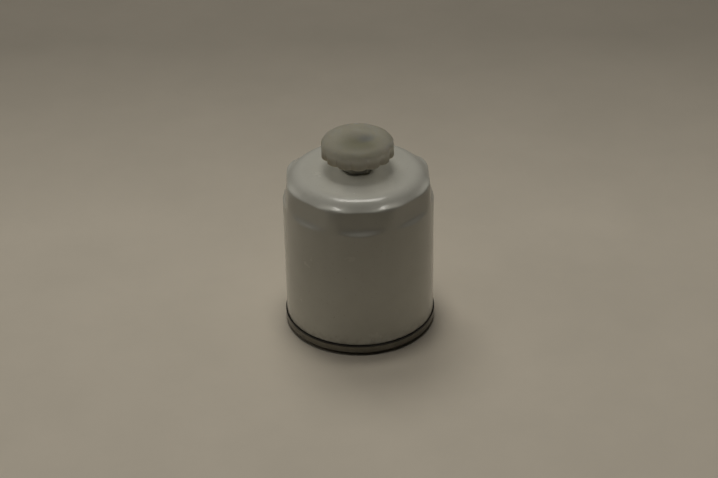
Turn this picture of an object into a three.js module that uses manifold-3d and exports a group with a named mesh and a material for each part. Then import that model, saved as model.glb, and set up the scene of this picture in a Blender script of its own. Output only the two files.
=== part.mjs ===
// Spin-on oil filter with a drain knob on its closed end.
// Millimetres, +Z up. The origin is the centre of the gasket's lower face, where the filter
// stands or seals on the engine, and the drain knob is at the top.
import * as THREE from "three";
import { mergeVertices } from "three/addons/utils/BufferGeometryUtils.js";
import Module from "manifold-3d";

const wasm = await Module();
wasm.setup();

// ---------------------------------------------------------------- driving dimensions
const ROUND = 40; // facets round a large turned piece
const SMALL_ROUND = 20; // facets round a small turned piece
const FIT = 0.1; // gap between turned pieces that touch on the real filter

const can = {
  radius: 38, // outside of the drawn steel can
  wall: 0.8,
  foot: 2.9, // lowest edge, turned over inside the seam
  top: 86.8, // flat top of the closed end
  shoulder: 12, // outside radius of the shoulder
  hole: 6.2, // hole for the drain body
  hook: { outer: 0.25, height: 2.6 }, // edge folded up flat against the outside of the wall
};
const flats = {
  count: 8, // wrench flats pressed into the shoulder
  apothem: 36.2, // distance of a flat from the axis at its lower end
  topApothem: 35.2, // the same at the height of the can's top
  knee: 71.6, // height where a flat starts to run out into the round wall
  runout: 1.2, // how far the run-out leans outwards for its height
  turn: 1.5, // degrees that the front flat is turned from -Y
};
const seam = { radius: 38.65, foot: 1.6, top: 6.3, sheet: 0.35, flange: 24.5 };
const gasket = { inner: 31.3, outer: 36.1, top: 5.4, chamfer: 0.5 };
const plate = {
  under: 4.0,
  thickness: 3.0,
  radius: 36.0,
  step: 30.2, // radius of the lowered middle of the plate
  dish: 27.6, // radius inside the raised rim, on top
  bore: 8.65, // minor radius of the 3/4 inch stud thread
  hub: 12.0,
  hubTop: 13.0,
  holes: 8,
  holeRadius: 2.8,
  holeCircle: 21.0,
};
const flap = { lip: 24.6, outer: 26.8, crown: 15.2, low: 8.6, rubber: 1.1 };
const bush = { neck: 15.4, outer: 16.8, low: 11.1, shoulder: 12.3 };
const cap = { radius: 32, bore: 10.0, sheet: 0.6, rim: 4.0, low: 14.0, high: 74.0 };
const tube = { inner: 10.3, outer: 11.0, rows: 5, perRow: 6, hole: 2.2 };
const media = { inner: 12.2, outer: 30.4, pleats: 36, paper: 0.42 };
const potting = { inner: 11.3, outer: 31.2, height: 1.5 };
const bypass = {
  port: 6.5, // hole in the upper cap
  disc: 8.6,
  boss: 4.4, // radius of the disc's boss, inside the spring
  cage: 9.9,
  cageFloor: 58.5,
  outlet: 4.4, // hole in the cage's floor
  sheet: 0.7,
  seal: 0.9,
  spring: { radius: 5.8, wire: 0.9, turns: 5 },
};
const elementSpring = { radius: 15.2, wire: 2.0, turns: 3 };
const springSeat = { inner: 9.2, outer: 18.4, sheet: 0.7, rim: 1.8 };
const drain = {
  outerWasher: { outer: 7.3, thickness: 0.6 }, // under the hexagon, outside the can
  innerWasher: { outer: 9.6, thickness: 0.8 }, // between the can and the lock nut
  hexFlats: 15.0, // across the flats of the drain body
  hexTop: 95.4,
  hexTurn: 7, // degrees that the front flat of the hexagon is turned from -Y
  barrel: 6.0,
  barrelEnd: 78.0,
  bore: 4.3,
  seat: 80.6, // where the bore narrows to the valve seat
  port: 2.6,
  nutFlats: 17.0,
  nutHeight: 4.0,
};
const knob = {
  lobes: 14,
  turn: 2, // degrees that the front lobe is turned from -Y
  radius: 18.2, // over the lobes
  lobeDepth: 1.4,
  pointsPerLobe: 4,
  foot: 95.2,
  top: 105.2,
  edge: 4.6, // rounding of the top edge
  web: 2.6, // thickness of the top
  skirt: 1.6, // thickness of the skirt at a valley
  hub: 7.0,
  hubFoot: 96.6,
  stem: 4.0,
  stemFoot: 82.9,
  nose: 3.1, // tip of the stem, which carries the seat O-ring
  noseFoot: 81.3,
  core: 1.3, // radius of the passage inside the stem
  port: 1.0, // radius of the cross holes at the two ends of the passage
  inlet: 86.0, // height of the cross hole that lets liquid in, below the stem's O-ring
  outlet: 94.0, // height of the cross hole that lets it out under the knob
  dish: 8.4, // radius of the dish in the top
  dishDepth: 1.0,
};

// ---------------------------------------------------------------- materials
const finish = (color, roughness, metalness) =>
  new THREE.MeshStandardMaterial({ color, roughness, metalness });
const whitePaint = finish(0xd9dbd2, 0.25, 0.0);
const bareSteel = finish(0x8b8d8c, 0.35, 0.9);
const darkSteel = finish(0x4b4d4d, 0.4, 0.9);
const springSteel = finish(0x9a9b98, 0.3, 1.0);
const blackRubber = finish(0x1b1b1c, 0.7, 0.0);
const redRubber = finish(0x9b3a24, 0.6, 0.0);
const paper = finish(0xd8c08a, 0.9, 0.0);
const plastisol = finish(0x6d7f62, 0.8, 0.0);
const nylon = finish(0xc9c8b6, 0.5, 0.0);

// ---------------------------------------------------------------- shape helpers
const point = (x, y) => new THREE.Vector2(x, y);
const radians = THREE.MathUtils.degToRad;

// Points of an arc in a profile, from angle a to angle b in degrees.
function arc(x, y, radius, a, b, steps) {
  const points = [];
  for (let i = 0; i <= steps; i++) {
    const t = radians(a + ((b - a) * i) / steps);
    points.push(point(x + radius * Math.cos(t), y + radius * Math.sin(t)));
  }
  return points;
}

// A piece turned about Z from a profile of (radius, height) points. The profile either starts
// and ends on the axis or is closed here to make a ring.
function turned(profile, facets = ROUND) {
  const points = THREE.ShapeUtils.isClockWise(profile) ? [...profile].reverse() : [...profile];
  if (points[0].x > 0) points.push(points[0].clone());
  return new THREE.LatheGeometry(points, facets).rotateX(Math.PI / 2);
}

// The closed profile of a pressed sheet, from its centreline and thickness.
function sheetProfile(line, thickness) {
  const half = thickness / 2;
  const sides = [[], []];
  line.forEach((p, i) => {
    const before = line[Math.max(i - 1, 0)];
    const after = line[Math.min(i + 1, line.length - 1)];
    const into = (i ? p.clone().sub(before) : after.clone().sub(p)).normalize();
    const away = (i < line.length - 1 ? after.clone().sub(p) : p.clone().sub(before)).normalize();
    const normal = point(-into.y - away.y, into.x + away.x).normalize();
    const mitre = half / Math.max(normal.dot(point(-into.y, into.x)), 0.4);
    sides[0].push(p.clone().addScaledVector(normal, -mitre));
    sides[1].push(p.clone().addScaledVector(normal, mitre));
  });
  return [...sides[0], ...sides[1].reverse()];
}

// A cylinder that stands on z = low.
function rod(radius, low, high, facets = SMALL_ROUND) {
  return new THREE.CylinderGeometry(radius, radius, high - low, facets)
    .rotateX(Math.PI / 2)
    .translate(0, 0, (low + high) / 2);
}

// A hexagonal bar across the given flats, with a flat facing -Y before it is turned.
function hexBar(acrossFlats, low, high, turnDegrees) {
  return rod(acrossFlats / Math.sqrt(3), low, high, 6).rotateZ(radians(30 + turnDegrees));
}

// manifold-3d solids from three.js geometry and back.
function solid(geometry) {
  const bare = geometry.index ? geometry.toNonIndexed() : geometry.clone();
  bare.deleteAttribute("normal");
  bare.deleteAttribute("uv");
  const merged = mergeVertices(bare, 1e-4);
  const mesh = new wasm.Mesh({
    numProp: 3,
    vertProperties: new Float32Array(merged.attributes.position.array),
    triVerts: new Uint32Array(merged.index.array),
  });
  return new wasm.Manifold(mesh);
}

function geometryOf(made) {
  const mesh = made.getMesh();
  return new THREE.BufferGeometry()
    .setAttribute("position", new THREE.BufferAttribute(mesh.vertProperties, 3))
    .setIndex(new THREE.BufferAttribute(mesh.triVerts, 1));
}

const joined = (first, ...rest) => rest.reduce((all, g) => all.add(solid(g)), solid(first));
const cut = (made, ...tools) => tools.reduce((all, g) => all.subtract(solid(g)), made);

// count copies of a geometry turned about Z.
function around(count, makeGeometry, startDegrees = 0) {
  const copies = [];
  for (let i = 0; i < count; i++) {
    copies.push(makeGeometry().rotateZ(radians(startDegrees + (360 * i) / count)));
  }
  return copies;
}

// A round wire coil about Z with its ends lying flat.
class Coil extends THREE.Curve {
  constructor(radius, low, high, turns) {
    super();
    Object.assign(this, { radius, low, high, turns });
  }
  getPoint(t, target = new THREE.Vector3()) {
    const deadTurn = 0.8 / this.turns; // share of the wire in each flat end
    const rise = THREE.MathUtils.clamp((t - deadTurn) / (1 - 2 * deadTurn), 0, 1);
    const angle = 2 * Math.PI * this.turns * t;
    const z = this.low + (this.high - this.low) * rise;
    return target.set(this.radius * Math.cos(angle), this.radius * Math.sin(angle), z);
  }
}

function coilSpring({ radius, wire, turns }, low, high, stepsPerTurn = 12) {
  const section = new THREE.Shape(arc(0, 0, wire / 2, 0, 300, 5));
  const path = new Coil(radius, low + wire / 2, high - wire / 2, turns);
  const steps = Math.round(turns * stepsPerTurn);
  return new THREE.ExtrudeGeometry(section, { steps, extrudePath: path, bevelEnabled: false });
}

// ---------------------------------------------------------------- can and seam
// What the wrench flats leave of a round blank: a slightly tapered octagonal bar over a foot that
// flares, so that each flat runs out into the round wall.
function flatsEnvelope(inset) {
  const corner = 1 / Math.cos(Math.PI / flats.count);
  const apothem = flats.apothem - inset;
  const flare = can.radius - apothem + 4;
  const profile = [
    point(0, -10),
    point((apothem + flare) * corner, -10),
    point((apothem + flare) * corner, flats.knee - flare / flats.runout),
    point(apothem * corner, flats.knee),
    point((flats.topApothem - inset) * corner, can.top),
    point(0, can.top),
  ];
  const frontFlat = 180 / flats.count + flats.turn;
  return turned(profile, flats.count).rotateZ(radians(frontFlat));
}

function canBlank(inset, foot) {
  const shoulder = can.shoulder - inset;
  const profile = [
    point(0, foot),
    point(can.radius - inset, foot),
    ...arc(can.radius - can.shoulder, can.top - can.shoulder, shoulder, 0, 90, 6),
    point(0, can.top - inset),
  ];
  return solid(turned(profile));
}

function makeCan() {
  const outside = canBlank(0, can.foot).intersect(solid(flatsEnvelope(0)));
  const inside = canBlank(can.wall, can.foot - 1).intersect(solid(flatsEnvelope(can.wall)));
  const bodyHook = turned([
    point(can.radius - can.wall / 2, can.foot),
    point(can.radius + can.hook.outer, can.foot),
    point(can.radius + can.hook.outer, can.foot + can.hook.height),
    point(can.radius - can.wall / 2, can.foot + can.hook.height),
  ]);
  const shell = outside.subtract(inside).add(solid(bodyHook));
  return geometryOf(cut(shell, rod(can.hole, can.top - 5, can.top + 5)));
}

// The pressed steel lid: seam roll, gasket groove and the flange under the base plate.
function makeSeamLid() {
  const wallLine = seam.radius - seam.sheet / 2;
  const chuckLine = gasket.outer + 0.5;
  const grooveLine = gasket.inner - 0.45;
  const line = [
    point(can.radius + 0.1, seam.top - seam.sheet / 2),
    point(wallLine, seam.top - seam.sheet / 2),
    point(wallLine, seam.foot + seam.sheet / 2),
    point(chuckLine, seam.foot + seam.sheet / 2),
    point(chuckLine, gasket.top + 0.4),
    point(grooveLine, gasket.top + 0.4),
    point(grooveLine, plate.under - 0.25),
    point(seam.flange, plate.under - 0.25),
  ];
  return turned(sheetProfile(line, seam.sheet));
}

function makeGasket() {
  const { inner, outer, top, chamfer } = gasket;
  return turned([
    point(inner + chamfer, 0),
    point(outer - chamfer, 0),
    point(outer, chamfer),
    point(outer, top),
    point(inner, top),
    point(inner, chamfer),
  ]);
}

function makeBasePlate() {
  const deck = plate.under + plate.thickness;
  const rimUnder = gasket.top + 0.8;
  const disc = turned([
    point(plate.bore, plate.under),
    point(plate.step, plate.under),
    point(plate.step, rimUnder),
    point(plate.radius, rimUnder),
    point(plate.radius, rimUnder + plate.thickness - 0.2),
    point(plate.dish, rimUnder + plate.thickness - 0.2),
    point(plate.dish, deck),
    point(plate.hub, deck),
    point(plate.hub, plate.hubTop),
    point(plate.bore, plate.hubTop),
  ]);
  const inlet = () =>
    rod(plate.holeRadius, plate.under - 1, deck + 1, 12).translate(plate.holeCircle, 0, 0);
  return geometryOf(cut(solid(disc), ...around(plate.holes, inlet)));
}

// ---------------------------------------------------------------- valves on the base plate
function makeAntiDrainFlap() {
  const deck = plate.under + plate.thickness + 0.15;
  const inner = plate.hub + 0.3;
  return turned([
    point(inner, flap.low),
    point(flap.crown, flap.low),
    point(flap.lip, deck),
    point(flap.outer, deck),
    point(flap.outer, deck + 0.9),
    point(flap.crown + 0.6, flap.low + flap.rubber),
    point(inner, flap.low + flap.rubber),
  ]);
}

function makeElementSeal() {
  const inner = plate.hub + 0.2;
  return turned([
    point(inner, bush.low),
    point(bush.neck, bush.low),
    point(bush.outer, bush.shoulder),
    point(bush.outer, cap.low - FIT),
    point(inner, cap.low - FIT),
  ]);
}

// ---------------------------------------------------------------- filter element
function makeLowerCap() {
  const middle = cap.sheet / 2;
  const line = [
    point(cap.bore, cap.low + middle),
    point(cap.radius - middle, cap.low + middle),
    point(cap.radius - middle, cap.low + cap.rim),
  ];
  return turned(sheetProfile(line, cap.sheet));
}

function makeUpperCap() {
  const middle = cap.sheet / 2;
  const line = [
    point(cap.radius - middle, cap.high - cap.rim),
    point(cap.radius - middle, cap.high - middle),
    point(bypass.port, cap.high - middle),
  ];
  return turned(sheetProfile(line, cap.sheet));
}

const elementFloor = cap.low + cap.sheet + FIT;
const elementRoof = cap.high - cap.sheet - FIT;

function makePotting(low) {
  const high = low + potting.height;
  return turned([
    point(potting.inner, low),
    point(potting.outer, low),
    point(potting.outer, high),
    point(potting.inner, high),
  ]);
}

function makeCentreTube() {
  const wall = turned(
    [
      point(tube.inner, elementFloor),
      point(tube.outer, elementFloor),
      point(tube.outer, elementRoof),
      point(tube.inner, elementRoof),
    ],
    32,
  );
  const low = elementFloor + 7;
  const pitch = (elementRoof - 7 - low) / (tube.rows - 1);
  const punches = [];
  for (let row = 0; row < tube.rows; row++) {
    const drill = () =>
      new THREE.CylinderGeometry(tube.hole, tube.hole, 3, 6)
        .rotateZ(Math.PI / 2)
        .translate((tube.inner + tube.outer) / 2, 0, low + row * pitch);
    punches.push(...around(tube.perRow, drill, row % 2 ? 180 / tube.perRow : 0));
  }
  return geometryOf(cut(solid(wall), ...punches));
}

// Pleated paper: radial sheets joined in turn at the outside and the inside.
function makeMedia() {
  const sheets = media.pleats * 2;
  const half = media.paper / 2;
  const at = (radius, angle, side) => {
    const shift = (side * half) / radius;
    return point(radius * Math.cos(angle + shift), radius * Math.sin(angle + shift));
  };
  const outerWall = [];
  const innerWall = [];
  for (let i = 0; i < sheets; i++) {
    const angle = (2 * Math.PI * i) / sheets;
    const rising = i % 2 === 0; // the paper runs outwards along this sheet
    const outerSide = rising ? -1 : 1;
    const outerEnds = [
      at(media.inner + media.paper, angle, outerSide),
      at(media.outer, angle, outerSide),
    ];
    const innerEnds = [
      at(media.inner, angle, -outerSide),
      at(media.outer - media.paper, angle, -outerSide),
    ];
    outerWall.push(...(rising ? outerEnds : outerEnds.reverse()));
    innerWall.push(...(rising ? innerEnds : innerEnds.reverse()));
  }
  const shape = new THREE.Shape(outerWall);
  shape.holes.push(new THREE.Path(innerWall));
  const low = elementFloor + potting.height + FIT;
  const depth = elementRoof - potting.height - FIT - low;
  return new THREE.ExtrudeGeometry(shape, { depth, bevelEnabled: false }).translate(0, 0, low);
}

// Steel strip folded over the two ends of the paper, outside one pleat.
function makeSeamClip() {
  const low = elementFloor + potting.height + 0.4;
  const height = elementRoof - potting.height - 0.4 - low;
  return new THREE.BoxGeometry(0.45, 1.9, height).translate(
    media.outer + 0.35,
    (media.outer * Math.PI) / media.pleats / 2,
    low + height / 2,
  );
}

// ---------------------------------------------------------------- bypass valve
function makeBypassCage() {
  const middle = bypass.sheet / 2;
  const wallLine = bypass.cage - middle;
  const line = [
    point(bypass.outlet, bypass.cageFloor + middle),
    point(wallLine, bypass.cageFloor + middle),
    point(wallLine, elementRoof),
  ];
  const cup = solid(turned(sheetProfile(line, bypass.sheet), SMALL_ROUND));
  const middleHeight = (bypass.cageFloor + elementRoof) / 2;
  const window = () =>
    new THREE.BoxGeometry(3, 6, 8).translate(wallLine, 0, middleHeight + 1);
  return geometryOf(cut(cup, ...around(3, window, 30)));
}

const bypassSealTop = elementRoof - 0.05;

function makeBypassSeal() {
  return turned(
    [
      point(bypass.port - 0.1, bypassSealTop - bypass.seal),
      point(bypass.disc, bypassSealTop - bypass.seal),
      point(bypass.disc, bypassSealTop),
      point(bypass.port - 0.1, bypassSealTop),
    ],
    SMALL_ROUND,
  );
}

function makeBypassDisc() {
  const top = bypassSealTop - 1.0;
  return turned(
    [
      point(0, top - 2.2),
      point(bypass.boss, top - 2.2),
      point(bypass.boss, top - 0.9),
      point(bypass.disc, top - 0.9),
      point(bypass.disc, top),
      point(bypass.port - 0.3, top),
      point(bypass.port - 0.3, top + 0.5),
      point(0, top + 0.5),
    ],
    SMALL_ROUND,
  );
}

function makeBypassSpring() {
  const floor = bypass.cageFloor + bypass.sheet + 0.05;
  const ceiling = bypassSealTop - 2.0;
  return coilSpring(bypass.spring, floor, ceiling);
}

// ---------------------------------------------------------------- element spring
function makeSpringSeat() {
  const { inner, outer, sheet, rim } = springSeat;
  const floor = cap.high + FIT;
  return turned(
    [
      point(inner, floor),
      point(outer, floor),
      point(outer, floor + rim),
      point(outer - sheet, floor + rim),
      point(outer - sheet, floor + sheet),
      point(inner, floor + sheet),
    ],
    32,
  );
}

function makeElementSpring() {
  const floor = cap.high + FIT + springSeat.sheet + FIT;
  return coilSpring(elementSpring, floor, can.top - can.wall - 0.15, 18);
}

// ---------------------------------------------------------------- drain valve
const washerBore = drain.barrel + FIT;
const washerFoot = can.top + 0.05;
const hexFoot = washerFoot + drain.outerWasher.thickness + 0.05;

function makeDrainBody() {
  const body = joined(
    hexBar(drain.hexFlats, hexFoot, drain.hexTop, drain.hexTurn),
    rod(drain.barrel, drain.barrelEnd, hexFoot + 1),
  );
  const bore = turned(
    [
      point(0, drain.barrelEnd - 1),
      point(drain.port, drain.barrelEnd - 1),
      point(drain.port, drain.seat),
      point(drain.bore, drain.seat + 1.6),
      point(drain.bore, drain.hexTop + 1),
      point(0, drain.hexTop + 1),
    ],
    SMALL_ROUND,
  );
  return geometryOf(cut(body, bore));
}

function makeWasher(inner, { outer, thickness }, low) {
  return turned(
    [
      point(inner, low),
      point(outer, low),
      point(outer, low + thickness),
      point(inner, low + thickness),
    ],
    SMALL_ROUND,
  );
}

const ceiling = can.top - can.wall;
const innerWasherFoot = ceiling - drain.innerWasher.thickness - 0.05;

function makeLockNut() {
  const top = innerWasherFoot - FIT;
  const blank = solid(hexBar(drain.nutFlats, top - drain.nutHeight, top, drain.hexTurn + 12));
  return geometryOf(cut(blank, rod(drain.barrel + 0.3, top - 10, top + 5)));
}

// O-rings on the stem: radius to the middle of the cord, cord diameter, height.
const stemRing = { middle: 3.75, cord: 0.95, height: 90.8 };
const seatRing = { middle: 3.45, cord: 1.0, height: 82.25 };

function makeRing({ middle, cord, height }) {
  return turned(arc(middle, height, cord / 2, 0, 315, 7), SMALL_ROUND);
}

// Scalloped outline of the knob: rounded lobes with narrow valleys between them.
function knobOutline() {
  const outline = [];
  const steps = knob.lobes * knob.pointsPerLobe;
  for (let i = 0; i < steps; i++) {
    const angle = (2 * Math.PI * i) / steps;
    const swing = Math.abs(Math.cos((knob.lobes * angle) / 2));
    const radius = knob.radius - knob.lobeDepth * (1 - swing) ** 1.5;
    outline.push(point(radius * Math.cos(angle), radius * Math.sin(angle)));
  }
  return new THREE.Shape(outline);
}

function makeKnob() {
  const frontLobe = radians(knob.turn - 90);
  const skirt = new THREE.ExtrudeGeometry(knobOutline(), {
    depth: knob.top - knob.foot,
    bevelEnabled: false,
  })
    .rotateZ(frontLobe)
    .translate(0, 0, knob.foot);
  const roundedTop = turned([
    point(0, knob.foot - 1),
    point(knob.radius + 1, knob.foot - 1),
    point(knob.radius + 1, knob.top - knob.edge - 1),
    ...arc(knob.radius - knob.edge, knob.top - knob.edge, knob.edge, 0, 90, 3),
    point(knob.dish, knob.top),
    point(knob.dish - 2.5, knob.top - knob.dishDepth),
    point(0, knob.top - knob.dishDepth),
  ]);
  const cavity = turned([
    point(knob.hub, knob.foot - 1),
    point(knob.radius - knob.lobeDepth - knob.skirt, knob.foot - 1),
    point(knob.radius - knob.lobeDepth - knob.skirt, knob.top - knob.web),
    point(knob.hub, knob.top - knob.web),
  ]);
  const underHub = rod(knob.hub + 0.5, knob.foot - 1, knob.hubFoot);
  const stem = joined(
    rod(knob.stem, knob.stemFoot, knob.hubFoot + 1),
    rod(knob.nose, knob.noseFoot, knob.stemFoot + 1),
  );
  const grooves = [
    makeWasher(knob.stem - 0.9, { outer: knob.stem + 1, thickness: 1.6 }, stemRing.height - 0.8),
    makeWasher(knob.nose - 0.3, { outer: knob.stem + 1, thickness: 1.15 }, seatRing.height - 0.6),
  ];
  const ports = [knob.inlet, knob.outlet].map((height) =>
    new THREE.CylinderGeometry(knob.port, knob.port, 2 * knob.stem + 2, 8).translate(0, 0, height),
  );
  const passage = rod(knob.core, knob.inlet, knob.outlet, 12);
  const head = cut(solid(skirt).intersect(solid(roundedTop)), cavity, underHub);
  return geometryOf(cut(head.add(stem), ...grooves, ...ports, passage));
}

// ---------------------------------------------------------------- assembly
const filter = new THREE.Group();

function place(name, geometry, material) {
  const mesh = new THREE.Mesh(geometry, material);
  mesh.name = name;
  filter.add(mesh);
}

place("can", makeCan(), whitePaint);
place("seam_lid", makeSeamLid(), darkSteel);
place("mount_gasket", makeGasket(), blackRubber);
place("base_plate", makeBasePlate(), bareSteel);
place("anti_drain_flap", makeAntiDrainFlap(), redRubber);
place("element_seal", makeElementSeal(), blackRubber);

place("lower_end_cap", makeLowerCap(), bareSteel);
place("lower_potting", makePotting(elementFloor), plastisol);
place("centre_tube", makeCentreTube(), bareSteel);
place("pleated_media", makeMedia(), paper);
place("media_seam_clip", makeSeamClip(), bareSteel);
place("upper_potting", makePotting(elementRoof - potting.height), plastisol);
place("upper_end_cap", makeUpperCap(), bareSteel);

place("bypass_cage", makeBypassCage(), bareSteel);
place("bypass_seal", makeBypassSeal(), blackRubber);
place("bypass_disc", makeBypassDisc(), bareSteel);
place("bypass_spring", makeBypassSpring(), springSteel);

place("spring_seat", makeSpringSeat(), bareSteel);
place("element_spring", makeElementSpring(), springSteel);

place("drain_body", makeDrainBody(), darkSteel);
place("drain_outer_washer", makeWasher(washerBore, drain.outerWasher, washerFoot), nylon);
place("drain_inner_washer", makeWasher(washerBore, drain.innerWasher, innerWasherFoot), bareSteel);
place("drain_lock_nut", makeLockNut(), bareSteel);
place("drain_knob", makeKnob(), nylon);
place("stem_o_ring", makeRing(stemRing), blackRubber);
place("seat_o_ring", makeRing(seatRing), blackRubber);

export default filter;
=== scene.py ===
"""Looks of a spin-on oil filter with a drain knob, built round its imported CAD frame.

Sizes are in millimetres in the outlines and become metres when a mesh is made. Lamps, the camera
and the table are placed in metres. Outlines are (radius, height) points about the filter's axis,
with heights above the gasket's face.
"""

import math

import bpy
import numpy as np
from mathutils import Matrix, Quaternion, Vector

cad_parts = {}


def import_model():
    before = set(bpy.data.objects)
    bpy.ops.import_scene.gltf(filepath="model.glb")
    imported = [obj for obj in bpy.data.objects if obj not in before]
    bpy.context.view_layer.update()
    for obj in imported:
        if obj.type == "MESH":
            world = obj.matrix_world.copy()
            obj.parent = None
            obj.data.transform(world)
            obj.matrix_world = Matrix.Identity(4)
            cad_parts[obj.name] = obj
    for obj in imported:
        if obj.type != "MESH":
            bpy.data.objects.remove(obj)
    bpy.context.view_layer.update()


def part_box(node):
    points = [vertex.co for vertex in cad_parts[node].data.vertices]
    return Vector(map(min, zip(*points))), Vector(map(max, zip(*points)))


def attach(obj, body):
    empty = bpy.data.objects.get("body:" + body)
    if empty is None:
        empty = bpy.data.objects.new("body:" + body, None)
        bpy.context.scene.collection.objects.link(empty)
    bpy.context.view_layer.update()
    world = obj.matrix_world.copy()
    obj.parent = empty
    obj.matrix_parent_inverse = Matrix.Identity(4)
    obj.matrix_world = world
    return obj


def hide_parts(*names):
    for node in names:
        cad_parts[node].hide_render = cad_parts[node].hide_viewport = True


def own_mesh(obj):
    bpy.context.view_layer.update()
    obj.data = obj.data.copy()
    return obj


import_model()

MM = 0.001
SHELL, RINGS, KNOB, POPPET = "filter_shell", "drain_rings", "drain_knob_turning", "bypass_poppet"


def low(node):
    """Height of a CAD node's lowest point, in millimetres."""
    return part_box(node)[0].z / MM


def high(node):
    """Height of a CAD node's highest point, in millimetres."""
    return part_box(node)[1].z / MM


# ---------------------------------------------------------------- driving dimensions
CAN_RADIUS = 38.0
CAN_WALL = 0.8
CAN_TOP = high("can")
CAN_FOOT = low("can")
SHOULDER = 10.6  # radius from the bevel down to the wall
PLATEAU = 27.7  # radius of the flat top
EDGE = 8.0  # radius from the flat top down to the bevel
BEVEL = 48  # degrees that the band round the flat top slopes
CAN_HOLE = 6.2  # radius of the hole for the drain body

FLATS = 8
FLAT_APOTHEM = 36.2
FLAT_LEAN = 1.0 / 17.5  # how far a flat leans in for its height
FLAT_KNEE = 71.6  # height where a flat starts to run out into the round wall
FLAT_TURN = math.radians(1.5)
RUN_OUT = 1.2  # how far the run-out leans outwards for its height
RIDGE_FOOT, RIDGE_RISE, RIDGE_LOSS = 73, 7, 0.95  # where and how far the ridges draw in
KNUCKLE, KNUCKLE_REACH = 79.6, 3.0  # where the shoulder is lifted between two flats
KNUCKLE_LIFT = 2.7

SEAM_RADIUS = 38.65
SEAM_FOOT = low("seam_lid")
SEAM_TOP = high("seam_lid")

KNOB_LOBES = 14
KNOB_TURN = math.radians(2.0)
KNOB_RADIUS = 18.2
KNOB_FOOT = 95.2
KNOB_TOP = high("drain_knob")

HEX_ACROSS = 15.0  # across the flats
HEX_CHAMFER = 7.1  # radius where the chamfer of the hexagon's corners starts
HEX_TURN = math.radians(7.0)
HEX_TOP = high("drain_body")
FRONT = -math.pi / 2  # the direction of -Y


# ---------------------------------------------------------------- outlines
def rounded(points, radius, steps=4, closed=True):
    """The outline with its corners rounded. A point's third number is a radius of its own."""
    made = []
    for i, p in enumerate(points):
        here = Vector(p[:2])
        own = p[2] if len(p) > 2 else radius
        before = Vector(points[i - 1][:2]) - here
        after = Vector(points[(i + 1) % len(points)][:2]) - here
        half = before.angle(after) / 2
        if own <= 0 or half > 1.55 or (not closed and i in (0, len(points) - 1)):
            made.append(tuple(here))
            continue
        cut = min(own / math.tan(half), 0.49 * before.length, 0.49 * after.length)
        inwards = (before.normalized() + after.normalized()).normalized()
        centre = here + inwards * (cut / math.cos(half))
        first = here + before.normalized() * cut - centre
        last = here + after.normalized() * cut - centre
        for k in range(steps + 1):
            made.append(tuple(centre + first.slerp(last, k / steps) * first.length))
    return made


def sheet(line, thickness, bend=0.8, steps=5):
    """Closed outline of a pressed sheet, from its centreline."""
    path = [Vector(p) for p in rounded(line, bend, steps, closed=False)]
    left, right = [], []
    for i, p in enumerate(path):
        along = path[min(i + 1, len(path) - 1)] - path[max(i - 1, 0)]
        side = Vector((-along.y, along.x)).normalized() * thickness / 2
        left.append(tuple(p + side))
        right.append(tuple(p - side))
    return left + right[::-1]


def split(points, longest):
    """The closed outline with no step longer than this."""
    made = []
    for i, p in enumerate(points):
        q = points[(i + 1) % len(points)]
        count = max(1, math.ceil(math.dist(p[:2], q[:2]) / longest))
        for k in range(count):
            t = k / count
            made.append(tuple(a + (b - a) * t for a, b in zip(p, q)))
    return made


def arc(centre, radius, start, end, steps):
    """Points of an arc, from and to angles in degrees."""
    angles = [math.radians(start + (end - start) * i / steps) for i in range(steps + 1)]
    return [(centre[0] + radius * math.cos(a), centre[1] + radius * math.sin(a)) for a in angles]


# ---------------------------------------------------------------- meshes
SMOOTH = 32  # degrees: a sharper edge keeps its crease


def make(name, vertices, faces, material, body, node, slot, smooth_angle=SMOOTH):
    """A piece from vertices in millimetres, riding on its body in place of its CAD node."""
    mesh = bpy.data.meshes.new(name)
    mesh.from_pydata((np.asarray(vertices, float) * MM).tolist(), [], faces)
    mesh.validate()
    mesh.materials.append(material)
    piece = bpy.data.objects.new(name, mesh)
    bpy.context.scene.collection.objects.link(piece)
    finish_normals(piece, smooth_angle)
    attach(piece, body)
    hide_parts(node)
    return piece


def finish_normals(piece, smooth_angle):
    """Smooths the piece's faces and creases the edges that are sharper than an angle."""
    mesh = piece.data
    mesh.polygons.foreach_set("use_smooth", [True] * len(mesh.polygons))
    mesh.set_sharp_from_angle(angle=math.radians(smooth_angle))
    mesh.update()


def lathe(outline, around=128, reshape=None, turn=0.0):
    """Vertices and faces of a closed turned solid. reshape(radius, angle, height, tag) returns a
    new (radius, height); a tag is an outline point's third number."""
    ring = np.array([(*p[:2], p[2] if len(p) > 2 else 0.0) for p in outline], float)
    x, y = ring[:, 0], ring[:, 1]
    if np.sum(x * np.roll(y, -1) - np.roll(x, -1) * y) < 0:
        ring = ring[::-1]
    count = len(ring)
    angle = turn + 2 * np.pi * np.arange(around) / around
    radius = np.repeat(ring[None, :, 0], around, 0)
    height = np.repeat(ring[None, :, 1], around, 0)
    if reshape:
        tag = np.repeat(ring[None, :, 2], around, 0)
        radius, height = reshape(radius, np.repeat(angle[:, None], count, 1), height, tag)
    vertices = np.stack(
        [radius * np.cos(angle)[:, None], radius * np.sin(angle)[:, None], height], axis=2
    ).reshape(-1, 3)
    faces = []
    for i in range(around):
        a, b = i * count, ((i + 1) % around) * count
        faces += [(a + j, b + j, b + (j + 1) % count, a + (j + 1) % count) for j in range(count)]
    return close_poles(vertices, faces)


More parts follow.
